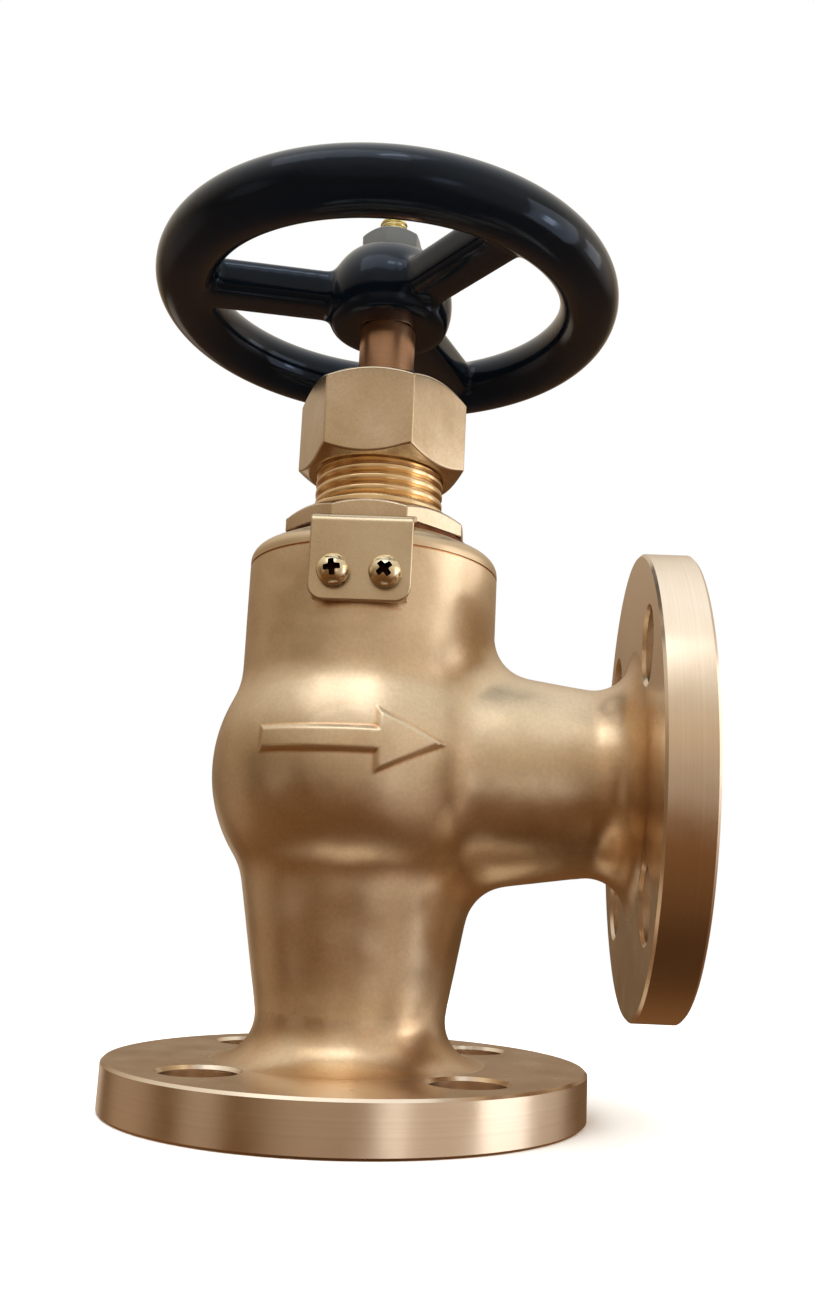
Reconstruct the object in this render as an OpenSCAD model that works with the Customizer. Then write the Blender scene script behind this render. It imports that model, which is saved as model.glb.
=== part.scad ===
// Flanged bronze angle valve with a screw-down rising stem, nominal bore 25.
// The origin is the centre of the inlet flange's face. +Z runs up the stem, +X towards the outlet.

/* [Flanges] */
// Outside diameter of both flanges
flange_d = 125; // [118:0.5:140]
// Thickness of both flanges
flange_t = 12.5; // [10:0.5:16]
// Chamfer on the rims of the flanges
flange_edge = 0.7; // [0.3:0.1:1.5]
// Pitch circle of the bolt holes
bolt_pcd = 90; // [88:0.5:98]
// Diameter of the bolt holes
bolt_d = 19; // [15:0.5:20]
// Number of bolt holes in each flange
bolt_count = 4; // [4:1:6]
// Chamfer of the bolt holes on the side of the nuts
bolt_edge = 0.9; // [0.4:0.1:1.2]
// Bore at both flange faces
port_d = 25; // [20:0.5:28]

/* [Body casting] */
// Height of the outlet's axis, and of the bowl's centre, above the inlet face
outlet_h = 87.5; // [84:0.5:96]
// Distance of the outlet face from the stem's axis
outlet_l = 85; // [82:0.5:100]
// Diameter of the round bowl
bowl_d = 81.4; // [79:0.2:84]
// Diameter of the inlet neck, measured where its cone meets the flange
inlet_neck_d = 45.8; // [42:0.2:48]
// Draft of the inlet neck in degrees
inlet_taper = 10; // [8:0.5:11]
// Diameter of the outlet neck, measured where its cone meets the flange
outlet_neck_d = 47.4; // [44:0.2:50]
// Draft of the outlet neck in degrees
outlet_taper = 8.5; // [6:0.5:10]
// Fillet between each neck and its flange
flange_fillet = 11; // [8:0.5:12]
// Rolling-ball blend between the outlet neck and the rest of the body
branch_blend = 12; // [8:0.5:13]
// Blend between the bowl and the upper neck
upper_blend = 18; // [14:0.5:22]
// Blend between the bowl and the inlet neck
lower_blend = 15; // [14:0.5:18]
// Diameter of the upper neck that holds the bonnet
upper_neck_d = 68.8; // [66:0.2:72]
// Height of the body's top face above the inlet face
body_h = 151.7; // [148:0.1:160]
// Slope of the body's shoulder in degrees
shoulder_slope = 26.5; // [20:0.5:32]
// Radius of the shoulder's outer corner
shoulder_round = 4; // [2:0.5:6]
// Height of the turned line below the body's top face
line_drop = 8.8; // [8.5:0.1:11]
// Width and depth of the turned line
line_w = 0.6; // [0.3:0.1:1]
// Wall of the bowl
bowl_wall = 6; // [4:0.5:8]
// Wall of the upper neck below the bonnet's thread
neck_wall = 7.5; // [6:0.5:9]

/* [Seat and disc] */
// Height of the seat's face above the inlet face
seat_h = 66; // [62:0.5:70]
// Diameter of the seat ring's thread
seat_thread_d = 34; // [32:0.5:36]
// Length of the seat ring's thread
seat_thread_l = 6; // [5:0.5:8]
// Width of the seat's face
seat_land_w = 3; // [2:0.25:4]
// Thickness of the seat ring's collar
seat_collar_t = 2; // [1.5:0.25:3]
// Diameter of the disc
disc_d = 34; // [32:0.5:38]
// Thickness of the disc's plate
disc_t = 5.5; // [4:0.5:7]
// Diameter of the disc's socket for the stem
disc_socket_d = 27; // [26:0.5:30]
// Length of the disc's guide wings
wing_l = 13; // [8:0.5:16]
// Thickness of the disc's guide wings
wing_t = 3; // [2:0.25:4]
// Number of guide wings
wing_count = 3; // [3:1:5]
// Thickness of the pad under the stem's end
pad_t = 2.5; // [1.5:0.25:3.5]
// Thickness of the disc nut
disc_nut_t = 6; // [5:0.5:8]
// Diameter of the pin that locks the disc nut
lock_pin_d = 2.5; // [1.5:0.25:3]

/* [Stem] */
// Diameter of the stem where it passes the packing
stem_d = 16; // [14:0.25:17]
// Outside diameter of the stem's thread
stem_thread_d = 18; // [17.5:0.25:20]
// Length of the stem's thread
stem_thread_l = 29.5; // [26:0.5:31]
// Lift of the disc from closed to fully open
lift = 8; // [5:0.5:9]
// Diameter of the collar at the stem's lower end
stem_button_d = 19; // [17:0.5:19.5]
// Diameter of the stem's neck inside the disc nut
stem_neck_d = 12; // [10:0.5:13]
// Width across the square that carries the handwheel
stem_square = 11; // [9:0.25:11.25]
// Diameter of the stem's threaded upper end
stem_tip_d = 8; // [6:0.5:9]
// Length of the tip that stands out of the handwheel's nut
stem_tip_out = 5.5; // [3:0.5:8]

/* [Bonnet and packing] */
// Thickness of the copper gasket
gasket_t = 1.2; // [0.8:0.1:2]
// Outside diameter of the copper gasket
gasket_d = 48; // [46:0.2:48.2]
// Width across the flats of the bonnet's eight-sided collar
collar_flats = 48.6; // [48.4:0.1:50]
// Thickness of the bonnet's collar
collar_t = 5.6; // [4.5:0.1:6.5]
// Diameter of the thread that holds the bonnet in the body
bonnet_thread_d = 42; // [40:0.5:43]
// Length of the thread that holds the bonnet in the body
bonnet_thread_l = 23; // [20:0.5:24]
// Diameter of the bonnet below its thread
bonnet_tail_d = 32; // [28:0.5:36]
// Length of the bonnet below the body's top face
bonnet_tail_l = 35; // [33:0.5:38]
// Diameter of the bonnet's outer thread for the gland nut
gland_thread_d = 36; // [34:0.25:37]
// Length of the bonnet's outer thread
gland_thread_l = 26.3; // [24:0.1:28]
// Diameter of the stuffing box
box_d = 24; // [22:0.5:26]
// Height of one packing ring
packing_h = 4; // [3:0.25:4]
// Thickness of the washer under the packing
packing_washer_t = 1.5; // [1:0.25:2]

/* [Gland] */
// Width across the flats of the gland nut
gland_nut_flats = 42; // [41:0.25:45]
// Height of the gland nut
gland_nut_h = 25.2; // [24:0.1:28]
// Gap between the bonnet's collar and the gland nut
gland_nut_gap = 13.7; // [11:0.1:16]
// Thickness of the gland nut's top
gland_nut_roof = 6; // [4:0.5:7]
// Turn of the gland nut's flats about the stem, in degrees
gland_nut_angle = -5.5; // [-30:0.5:30]
// Thickness of the gland's flange
gland_flange_t = 3; // [2:0.25:3.5]
// Length of the gland's sleeve
gland_sleeve_l = 11.5; // [10:0.5:13]

/* [Lock plate] */
// Width of the lock plate
plate_w = 26; // [24:0.2:28]
// Thickness of the lock plate
plate_t = 1.8; // [1.5:0.1:2.5]
// Depth of the lock plate's lower edge below the body's top face
plate_drop = 24.7; // [22:0.1:28]
// Depth of the lock plate's bend below the body's top face
bend_drop = 3.5; // [3:0.1:5]
// Radius of the lock plate's lower corners
plate_corner = 4; // [2:0.5:6]
// Inner radius of the lock plate's bend
bend_r = 0.8; // [0.8:0.1:2]
// Slope of the lock plate's lip in degrees
lip_slope = 19; // [15:0.5:24]
// Distance between the two screws
screw_pitch = 13; // [12:0.2:14]
// Depth of the screws' axes below the body's top face
screw_drop = 17.4; // [15:0.1:20]
// Diameter of the screws
screw_d = 5; // [3:0.5:5]
// Length of the screws
screw_l = 12; // [10:0.5:13]
// Diameter of the screws' heads
screw_head_d = 8.2; // [7:0.2:9.6]
// Height of the screws' heads
screw_head_h = 3.5; // [2.5:0.1:4]
// Thickness of the spring washers
washer_t = 1.1; // [0.8:0.1:1.5]

/* [Handwheel] */
// Outside diameter of the handwheel
wheel_d = 133.8; // [120:0.2:145]
// Thickness of the handwheel's round rim
rim_t = 17; // [14:0.2:19]
// Height of the handwheel's centre above the gland nut
wheel_rise = 29.5; // [26:0.5:34]
// Diameter of the handwheel's ball-shaped hub
hub_d = 36.8; // [34:0.2:40]
// Height of the hub below its centre
hub_below = 9.3; // [8:0.1:10]
// Height of the hub above its centre
hub_above = 12.8; // [12:0.1:15]
// Lowering of the hub's ball below the middle of the rim
hub_sink = 0.7; // [0:0.1:1.5]
// Width of the spokes
spoke_w = 13.5; // [11:0.25:15]
// Height of the spokes
spoke_h = 11; // [9:0.25:12]
// Rounding of the spokes' corners
spoke_round = 3; // [2:0.25:4]
// Blend between the spokes and the hub
spoke_blend = 4; // [2:0.5:5]
// Number of spokes
spoke_count = 3; // [3:1:5]
// Direction of the first spoke, in degrees from +X
spoke_angle = 70.5; // [0:0.5:119.5]
// Thickness of the washer under the handwheel's nut
wheel_washer_t = 1.2; // [0.8:0.1:2]
// Width across the flats of the handwheel's nut
wheel_nut_flats = 16; // [13:0.25:17]
// Height of the handwheel's nut
wheel_nut_h = 6.4; // [5:0.1:7]
// Turn of the handwheel's nut about the stem, in degrees
wheel_nut_angle = 24; // [0:0.5:59.5]

/* [Fits] */
// Radial clearance of a shaft that turns in its bore
running_fit = 0.05; // [0.02:0.01:0.08]
// Radial clearance of screwed pieces that stay put
thread_fit = 0.05; // [0.02:0.01:0.08]
// Gap round a piece that moves freely
free_gap = 0.4; // [0.3:0.05:0.5]
// Gap between pieces that lie side by side
side_gap = 0.1; // [0.05:0.05:0.2]

/* [Hidden] */
$fn = 96;

bronze = [0.76, 0.58, 0.38];
brass = [0.80, 0.66, 0.36];
copper = [0.45, 0.18, 0.11];
graphite = [0.20, 0.20, 0.21];
steel = [0.62, 0.62, 0.60];
black_paint = [0.06, 0.07, 0.09];
dark_grey = [0.26, 0.27, 0.29];

// radii and heights that several pieces share
bowl_r = bowl_d / 2;
upper_r = upper_neck_d / 2;
port_r = port_d / 2;
stem_r = stem_d / 2;
collar_z = body_h + gasket_t;
collar_top = collar_z + collar_t;
bonnet_top = collar_top + gland_thread_l;
gland_nut_z = collar_top + gland_nut_gap;
gland_nut_top = gland_nut_z + gland_nut_h;
gland_top = gland_nut_top - gland_nut_roof;
packing_count = 4;
packing_top = gland_top - gland_flange_t - gland_sleeve_l;
packing_z = packing_top - packing_count * packing_h;
box_floor = packing_z - packing_washer_t;
bonnet_foot = body_h - bonnet_tail_l;
bonnet_thread_foot = body_h - bonnet_thread_l;
wheel_z = gland_nut_top + wheel_rise;
hub_foot = wheel_z - hub_below;
hub_top = wheel_z + hub_above;
wheel_nut_z = hub_top + wheel_washer_t;
stem_top = wheel_nut_z + wheel_nut_h + stem_tip_out;
disc_floor = seat_h + disc_t + 1;
button_z = disc_floor + pad_t;
button_h = 4;
disc_nut_z = button_z + button_h + free_gap;
disc_nut_r = stem_button_d / 2 + 1.5;
pin_from = stem_neck_d / 2 + 1.5;
stem_thread_z = bonnet_foot - 4;
bridge_h = seat_h - 1 - seat_collar_t;
plate_back = upper_r + 0.4;
plate_front = plate_back + plate_t;
collar_face = collar_flats / 2;
gasket_land = 1;
blend_sections = 48;
blend_arcs = 6;
blend_sink = 0.12;
blend_bury = 2.5;
edge = 0.8;
over = 1;
eps = 0.01;

// The ball that rolls round the outlet neck touches the neck and the revolved body.
// Its centre keeps these distances from the stem's axis, height by height.
upper_ball_z = outlet_h + sqrt(pow(bowl_r + upper_blend, 2) - pow(upper_r + upper_blend, 2));
upper_ball_r = upper_r + upper_blend;
inlet_at_bowl = inlet_neck_d / 2 + (outlet_h - flange_t) * tan(inlet_taper);
lower_offset = inlet_at_bowl + lower_blend / cos(inlet_taper);
lower_reach = bowl_r + lower_blend;
lower_ball_z = outlet_h - (lower_offset * tan(inlet_taper)
    + sqrt(pow(lower_reach / cos(inlet_taper), 2) - pow(lower_offset, 2))) * pow(cos(inlet_taper), 2);
lower_ball_r = lower_offset + (lower_ball_z - outlet_h) * tan(inlet_taper);

// heights at which the rolling ball passes from one surface of the body to the next
function on_bowl(z, blend) = outlet_h + (z - outlet_h) * (bowl_r + branch_blend) / (bowl_r + blend);
neck_from = upper_ball_z;
bowl_to = on_bowl(upper_ball_z, upper_blend);
bowl_from = on_bowl(lower_ball_z, lower_blend);
cone_to = lower_ball_z + (lower_blend - branch_blend) * sin(inlet_taper);

// distance of the ball's centre from the stem's axis at height z
function ball_reach(z) =
    z >= neck_from ? upper_r + branch_blend
    : z >= bowl_to ? upper_ball_r - sqrt(pow(upper_blend - branch_blend, 2) - pow(z - upper_ball_z, 2))
    : z >= bowl_from ? sqrt(pow(bowl_r + branch_blend, 2) - pow(z - outlet_h, 2))
    : z >= cone_to ? lower_ball_r - sqrt(pow(lower_blend - branch_blend, 2) - pow(z - lower_ball_z, 2))
    : inlet_neck_d / 2 + (z - flange_t) * tan(inlet_taper) + branch_blend / cos(inlet_taper);

// outward normal of the body, as [radial, axial], where that ball touches it
function ball_normal(r, z) =
    z >= neck_from ? [1, 0]
    : z >= bowl_to ? [upper_ball_r - r, upper_ball_z - z] / (upper_blend - branch_blend)
    : z >= bowl_from ? [r, z - outlet_h] / (bowl_r + branch_blend)
    : z >= cone_to ? [lower_ball_r - r, lower_ball_z - z] / (lower_blend - branch_blend)
    : [cos(inlet_taper), -sin(inlet_taper)];

// distance of the ball's centre from the outlet's axis, at distance x from the stem's axis
function ball_height(x) = outlet_neck_d / 2 + (outlet_l - flange_t - x) * tan(outlet_taper)
    + branch_blend / cos(outlet_taper);

// place of the ball's centre along the outlet, found by stepping towards it
function ball_x(turn, x, steps) =
    let (h = ball_height(x), reach = ball_reach(outlet_h + h * cos(turn)))
    let (next = sqrt(pow(reach, 2) - pow(h * sin(turn), 2)))
    steps == 0 ? next : ball_x(turn, next, steps - 1);

// one section of the blend: an arc round the ball, and a corner inside the metal
function blend_section(turn, arcs, sink) =
    let (x = ball_x(turn, bowl_r, 6), h = ball_height(x))
    let (centre = [x, h * sin(turn), outlet_h + h * cos(turn)])
    let (r = norm([centre.x, centre.y]), flat = ball_normal(r, centre.z))
    let (to_body = -[flat.x * centre.x / r, flat.x * centre.y / r, flat.y])
    let (to_neck = -[sin(outlet_taper), cos(outlet_taper) * sin(turn), cos(outlet_taper) * cos(turn)])
    let (spread = acos(to_body * to_neck))
    let (inner = (to_body + to_neck) / norm(to_body + to_neck))
    concat(
        [for (i = [0:arcs])
            let (a = spread * i / arcs, end = (i == 0 || i == arcs) ? sink : 0)
            centre + (branch_blend + end) * (to_neck * sin(spread - a) + to_body * sin(a)) / sin(spread)],
        [centre + inner * (branch_blend / cos(spread / 2) + blend_bury)]);

// a ring of such sections round the outlet's axis
module branch_blend_ring(sections, arcs) {
    row = arcs + 2;
    points = [for (i = [0:sections - 1]) each blend_section(360 * i / sections, arcs, blend_sink)];
    faces = [for (i = [0:sections - 1], j = [0:row - 1])
        let (a = i * row + j, b = i * row + (j + 1) % row)
        let (c = ((i + 1) % sections) * row + (j + 1) % row, d = ((i + 1) % sections) * row + j)
        each [[a, b, c], [a, c, d]]];
    polyhedron(points = points, faces = faces);
}

// the metal left beside a circle of radius r at c, within the corner of three points
module corner_fill(points, c, r) {
    difference() {
        polygon(points);
        translate(c) circle(r);
    }
}

// half section of a flange with its neck: the face is at y = 0 and the neck runs up
module flanged_neck_section(neck_d, taper, reach) {
    r = flange_d / 2;
    e = flange_edge;
    root = neck_d / 2;
    f = flange_fillet;
    c = [root + f * tan(taper) + f / cos(taper), flange_t + f];
    foot = c - f * [cos(taper), -sin(taper)];
    polygon([[0, 0], [r - e, 0], [r, e], [r, flange_t - e], [r - e, flange_t], [0, flange_t]]);
    polygon([[0, 0], [root, flange_t], [root + (reach - flange_t) * tan(taper), reach], [0, reach]]);
    corner_fill([[0, flange_t - over], [c.x, flange_t - over], [c.x, flange_t], foot, [0, foot.y]], c, f);
}

// half section of the bowl, the upper neck and the shoulder
module trunk_section() {
    drop = (upper_r - gasket_d / 2 - gasket_land) * tan(shoulder_slope);
    sr = shoulder_round;
    sc = [upper_r - sr, body_h - drop + sr * tan(shoulder_slope) - sr / cos(shoulder_slope)];
    sp = sc + sr * [sin(shoulder_slope), cos(shoulder_slope)];
    line_z = body_h - line_drop;
    line_depth = line_w * 0.6;
    intersection() {
        translate([0, outlet_h]) circle(bowl_r);
        translate([0, outlet_h - bowl_r]) square([bowl_r, 2 * bowl_r]);
    }
    difference() {
        union() {
            polygon([[0, outlet_h], [upper_r, outlet_h], [upper_r, sc.y], sc, sp,
                     [gasket_d / 2 + gasket_land, body_h], [0, body_h]]);
            intersection() {
                translate(sc) circle(sr);
                translate(sc) square(sr);
            }
        }
        translate([upper_r - line_depth, line_z]) square([line_w, line_w]);
    }
    upper_c = [upper_ball_r, upper_ball_z];
    upper_touch = [0, outlet_h] + (upper_c - [0, outlet_h]) * bowl_r / (bowl_r + upper_blend);
    corner_fill([[0, upper_touch.y], upper_touch, [upper_r, upper_ball_z], [0, upper_ball_z]],
                upper_c, upper_blend);
    lower_c = [lower_ball_r, lower_ball_z];
    lower_touch = [0, outlet_h] + (lower_c - [0, outlet_h]) * bowl_r / (bowl_r + lower_blend);
    cone_touch = lower_c - lower_blend * [cos(inlet_taper), -sin(inlet_taper)];
    corner_fill([[0, cone_touch.y], cone_touch, lower_touch, [0, lower_touch.y]], lower_c, lower_blend);
}

// a ring of bolt holes through a flange whose face is at z = 0, chamfered where the nuts sit
module bolt_holes() {
    for (i = [0:bolt_count - 1]) rotate((i + 0.5) * 360 / bolt_count) translate([bolt_pcd / 2, 0, 0]) {
        translate([0, 0, -over]) cylinder(d = bolt_d, h = flange_t + flange_fillet);
        translate([0, 0, flange_t - bolt_edge])
            cylinder(d1 = bolt_d, d2 = bolt_d + 2 * bolt_edge, h = bolt_edge + eps);
        translate([0, 0, flange_t]) cylinder(d = bolt_d + 2 * bolt_edge, h = flange_fillet);
    }
}

// the outlet's own frame: its face at z = 0, and +Z into the body
module at_outlet() {
    translate([outlet_l, 0, outlet_h]) rotate([0, -90, 0]) children();
}

// the cored inside of the body: inlet, seat thread, bowl, upper neck and bonnet thread
module body_core() {
    bowl_in = bowl_r - bowl_wall;
    neck_in = upper_r - neck_wall;
    seat_foot = bridge_h - seat_thread_l;
    seat_hole_r = seat_thread_d / 2 + thread_fit;
    cup_r = bonnet_thread_d / 2 + thread_fit;
    cup_lead = 4;
    bowl_reach = outlet_l - bowl_in * 0.8;
    rotate_extrude() {
        polygon([[0, -over], [port_r, -over], [port_r, seat_foot], [seat_hole_r, seat_foot],
                 [seat_hole_r, bridge_h], [0, bridge_h]]);
        intersection() {
            translate([0, outlet_h]) circle(bowl_in);
            translate([0, bridge_h - eps]) square([bowl_r, bowl_r * 2]);
        }
        polygon([[0, outlet_h], [neck_in, outlet_h], [neck_in, bonnet_thread_foot - cup_lead],
                 [cup_r, bonnet_thread_foot], [cup_r, body_h + over], [0, body_h + over]]);
    }
    at_outlet() translate([0, 0, -over]) cylinder(r = port_r, h = bowl_reach + over);
}

module screw_places() {
    for (side = [-1, 1])
        translate([side * screw_pitch / 2, 0, body_h - screw_drop]) rotate([90, 0, 0]) children();
}

module valve_body() {
    pad_inset = 1;
    pad_w = plate_w - 2 * pad_inset;
    pad_h = plate_drop - bend_drop - 3 * pad_inset;
    color(bronze) difference() {
        union() {
            rotate_extrude() {
                flanged_neck_section(inlet_neck_d, inlet_taper, outlet_h - bowl_r / 3);
                trunk_section();
            }
            at_outlet() rotate_extrude()
                flanged_neck_section(outlet_neck_d, outlet_taper, outlet_l - bowl_r / 2);
            branch_blend_ring(blend_sections, blend_arcs);
            translate([-pad_w / 2, -plate_back, body_h - plate_drop + pad_inset])
                cube([pad_w, plate_back / 2, pad_h]);
        }
        body_core();
        bolt_holes();
        at_outlet() bolt_holes();
        rotate([90, 0, -90]) translate([0, 0, -plate_w / 2 - side_gap])
            linear_extrude(plate_w + 2 * side_gap) lip_notch();
        screw_places() translate([0, 0, plate_back - screw_l])
            cylinder(d = screw_d + 2 * thread_fit, h = screw_l + over);
    }
}

module seat_ring() {
    thread_r = seat_thread_d / 2;
    collar_r = thread_r + 2;
    foot = bridge_h - seat_thread_l;
    collar_up = bridge_h + seat_collar_t;
    land_r = port_r + seat_land_w;
    color(bronze) rotate_extrude()
        polygon([[port_r, foot], [thread_r, foot], [thread_r, bridge_h], [collar_r, bridge_h],
                 [collar_r, collar_up], [land_r + edge, collar_up], [land_r, seat_h], [port_r, seat_h]]);
}

module bonnet_gasket() {
    gasket_play = 0.3;
    color(copper) translate([0, 0, body_h]) difference() {
        cylinder(d = gasket_d, h = gasket_t);
        translate([0, 0, -over])
            cylinder(d = bonnet_thread_d + 2 * gasket_play, h = gasket_t + 2 * over);
    }
}

module bonnet() {
    tail_r = bonnet_tail_d / 2;
    screw_r = bonnet_thread_d / 2;
    thread_r = gland_thread_d / 2;
    bead_r = thread_r + 1.6;
    groove_r = thread_r - 0.6;
    nut_top = stem_thread_z + stem_thread_l - over;
    relief_top = nut_top + lift + 3;
    color(bronze) difference() {
        union() {
            rotate_extrude() polygon([
                [0, bonnet_foot], [tail_r - 2 * edge, bonnet_foot], [tail_r, bonnet_foot + 2 * edge],
                [tail_r, bonnet_thread_foot - 2 * edge], [screw_r, bonnet_thread_foot],
                [screw_r, collar_z + over], [bead_r, collar_top - over / 2],
                [bead_r, collar_top + side_gap], [groove_r, collar_top + 1.5],
                [groove_r, collar_top + 2], [thread_r, collar_top + 2.6], [thread_r, bonnet_top - edge],
                [thread_r - edge, bonnet_top], [0, bonnet_top]]);
            bonnet_collar();
        }
        translate([0, 0, box_floor]) cylinder(d = box_d, h = gland_thread_l * 2);
        translate([0, 0, relief_top - over])
            cylinder(r = stem_r + running_fit, h = box_floor - relief_top + 2 * over);
        translate([0, 0, nut_top])
            cylinder(r = stem_thread_d / 2 + free_gap + running_fit, h = relief_top - nut_top);
        translate([0, 0, bonnet_foot - over])
            cylinder(r = stem_thread_d / 2 + running_fit, h = nut_top + 2 * over - bonnet_foot);
    }
}

// eight-sided collar, with its upper corners turned off on a lathe
module bonnet_collar() {
    corner_drop = 3.4;
    corner_out = 4;
    translate([0, 0, collar_z]) intersection() {
        rotate(22.5) cylinder(d = collar_flats / cos(22.5), h = collar_t, $fn = 8);
        rotate_extrude() polygon([
            [0, 0], [collar_face + corner_out, 0], [collar_face + corner_out, collar_t - corner_drop],
            [collar_face - edge, collar_t], [0, collar_t]]);
    }
}

// side outline of the lock plate: x is the distance in front of the stem's axis, y the height
function lip_point(r, a) = [plate_back - bend_r, body_h - bend_drop - bend_r]
    + r * [cos(a), sin(a)];
bend_turn = 90 - lip_slope;
bend_steps = 6;
lip_end = collar_face + side_gap;
lip_room = 9;
function lip_line(r, x) = lip_point(r, bend_turn).y + (lip_point(r, bend_turn).x - x) * tan(lip_slope);

module plate_outline() {
    polygon(concat(
        [[plate_back, body_h - plate_drop], [plate_front, body_h - plate_drop]],
        [for (i = [0:bend_steps]) lip_point(bend_r + plate_t, bend_turn * i / bend_steps)],
        [[lip_end, lip_line(bend_r + plate_t, lip_end)], [lip_end, lip_line(bend_r, lip_end)]],
        [for (i = [bend_steps:-1:0]) lip_point(bend_r, bend_turn * i / bend_steps)]));
}

// what is milled out of the body's shoulder under the lip
module lip_notch() {
    start = lip_point(bend_r - side_gap, bend_turn);
    foot = body_h - bend_drop - bend_r;
    inner = bonnet_thread_d / 2;
    outer = plate_front + 2 * over;
    polygon([[outer, foot], [plate_back - side_gap, foot], start,
             [inner, lip_line(bend_r - side_gap, inner)], [inner, body_h + lip_room],
             [outer, body_h + lip_room]]);
}

module lock_plate() {
    color(bronze) difference() {
        intersection() {
            rotate([90, 0, -90]) translate([0, 0, -plate_w / 2]) linear_extrude(plate_w) plate_outline();
            rotate([90, 0, 0]) linear_extrude(plate_front + over) difference() {
                translate([-plate_w / 2, body_h - plate_drop]) square([plate_w, plate_drop + lip_room]);
                for (side = [-1, 1]) corner_cut(side);
            }
        }
        screw_places() cylinder(d = screw_d + 2 * free_gap, h = plate_front + over);
    }
}

// the waste at one rounded lower corner of the lock plate
module corner_cut(side) {
    c = [side * (plate_w / 2 - plate_corner), body_h - plate_drop + plate_corner];
    difference() {
        translate([side > 0 ? c.x : c.x - plate_corner - over, c.y - plate_corner - over])
            square(plate_corner + over);
        translate(c) circle(plate_corner);
    }
}

module lock_plate_washers() {
    play = 0.2;
    split = 0.8;
    split_turn = -60;
    color(steel) screw_places() translate([0, 0, plate_front]) difference() {
        cylinder(d = screw_head_d - 2 * play, h = washer_t);
        translate([0, 0, -over]) cylinder(d = screw_d + 2 * play, h = washer_t + 2 * over);
        rotate(split_turn) translate([0, -split / 2, -over])
            cube([screw_head_d, split, washer_t + 2 * over]);
    }
}

module lock_plate_screws() {
    r = screw_head_d / 2;
    h = screw_head_h;
    side_h = 1;
    dome = (pow(r, 2) + pow(h - side_h, 2)) / (2 * (h - side_h));
    cross = [4.8, 1.3, 2];
    cross_turn = 8;
    color(brass) screw_places() translate([0, 0, plate_front + washer_t]) {
        difference() {
            rotate_extrude() union() {
                square([r, side_h]);
                intersection() {
                    translate([0, h - dome]) circle(dome);
                    square([r, h]);
                }
            }
            for (turn = [0, 90]) rotate(turn + cross_turn)
                translate([-cross.x / 2, -cross.y / 2, h - cross.z]) cube(cross);
        }
        translate([0, 0, side_h / 2 - screw_l]) cylinder(d = screw_d, h = screw_l);
    }
}

module packing_washer() {
    color(bronze) packing_layer(box_floor, packing_washer_t);
}

module packing_ring(i) {
    color(graphite) packing_layer(packing_z + (i - 1) * packing_h, packing_h);
}

module packing_layer(z, h) {
    translate([0, 0, z]) difference() {
        cylinder(d = box_d - 2 * thread_fit, h = h);
        translate([0, 0, -over]) cylinder(r = stem_r + running_fit, h = h + 2 * over);
    }
}

module gland() {
    flange_r = gland_thread_d / 2 - edge;
    color(brass) rotate_extrude() difference() {
        union() {
            translate([0, packing_top]) square([box_d / 2 - running_fit, gland_top - packing_top]);
            translate([0, gland_top - gland_flange_t]) square([flange_r, gland_flange_t]);
        }
        translate([0, packing_top - over])
            square([stem_r + running_fit, gland_top - packing_top + 2 * over]);
    }
}

module gland_nut() {
    flat_r = gland_nut_flats / 2;
    corner_r = flat_r / cos(30);
    bore_r = gland_thread_d / 2 + running_fit;
    foot_land = 2;
    foot_r = bore_r + foot_land;
    foot_slope = 36;
    top_slope = 33;
    outer = corner_r + over;
    color(bronze) translate([0, 0, gland_nut_z]) difference() {
        intersection() {
            rotate(gland_nut_angle) cylinder(r = corner_r, h = gland_nut_h, $fn = 6);
            rotate_extrude() polygon([
                [0, 0], [foot_r, 0], [outer, (outer - foot_r) * tan(foot_slope)],
                [outer, gland_nut_h - (outer - flat_r + edge) * tan(top_slope)],
                [flat_r - edge, gland_nut_h], [0, gland_nut_h]]);
        }
        translate([0, 0, -over]) cylinder(r = bore_r, h = gland_nut_h - gland_nut_roof + over);
        translate([0, 0, -over]) cylinder(r = stem_r + free_gap, h = gland_nut_h + 2 * over);
    }
}

module disc() {
    rim = disc_d / 2;
    socket_r = disc_socket_d / 2;
    socket_top = disc_nut_z + disc_nut_t - over;
    plate_top = seat_h + disc_t;
    color(bronze) difference() {
        union() {
            rotate_extrude() polygon([
                [0, seat_h], [rim - edge, seat_h], [rim, seat_h + edge], [rim, plate_top - edge],
                [socket_r, plate_top + edge], [socket_r, socket_top - edge], [socket_r - edge, socket_top],
                [0, socket_top]]);
            translate([0, 0, seat_h - wing_l]) intersection() {
                cylinder(r = port_r - free_gap, h = wing_l + over);
                union() {
                    for (i = [0:wing_count - 1]) rotate(i * 360 / wing_count)
                        translate([0, -wing_t / 2, 0]) cube([port_r, wing_t, wing_l + over]);
                    cylinder(r = wing_t, h = wing_l + over);
                }
            }
        }
        translate([0, 0, disc_floor]) cylinder(r = disc_nut_r + thread_fit, h = socket_top);
        disc_pin_axis() cylinder(d = lock_pin_d + 2 * thread_fit, h = disc_socket_d);
    }
}

// where the pin runs across the disc nut and the disc's socket
module disc_pin_axis() {
    translate([pin_from, 0, disc_nut_z + disc_nut_t / 2 - over / 2]) rotate([0, 90, 0]) children();
}

module thrust_pad() {
    color(steel) translate([0, 0, disc_floor]) cylinder(r = stem_button_d / 2 - edge, h = pad_t);
}

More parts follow.
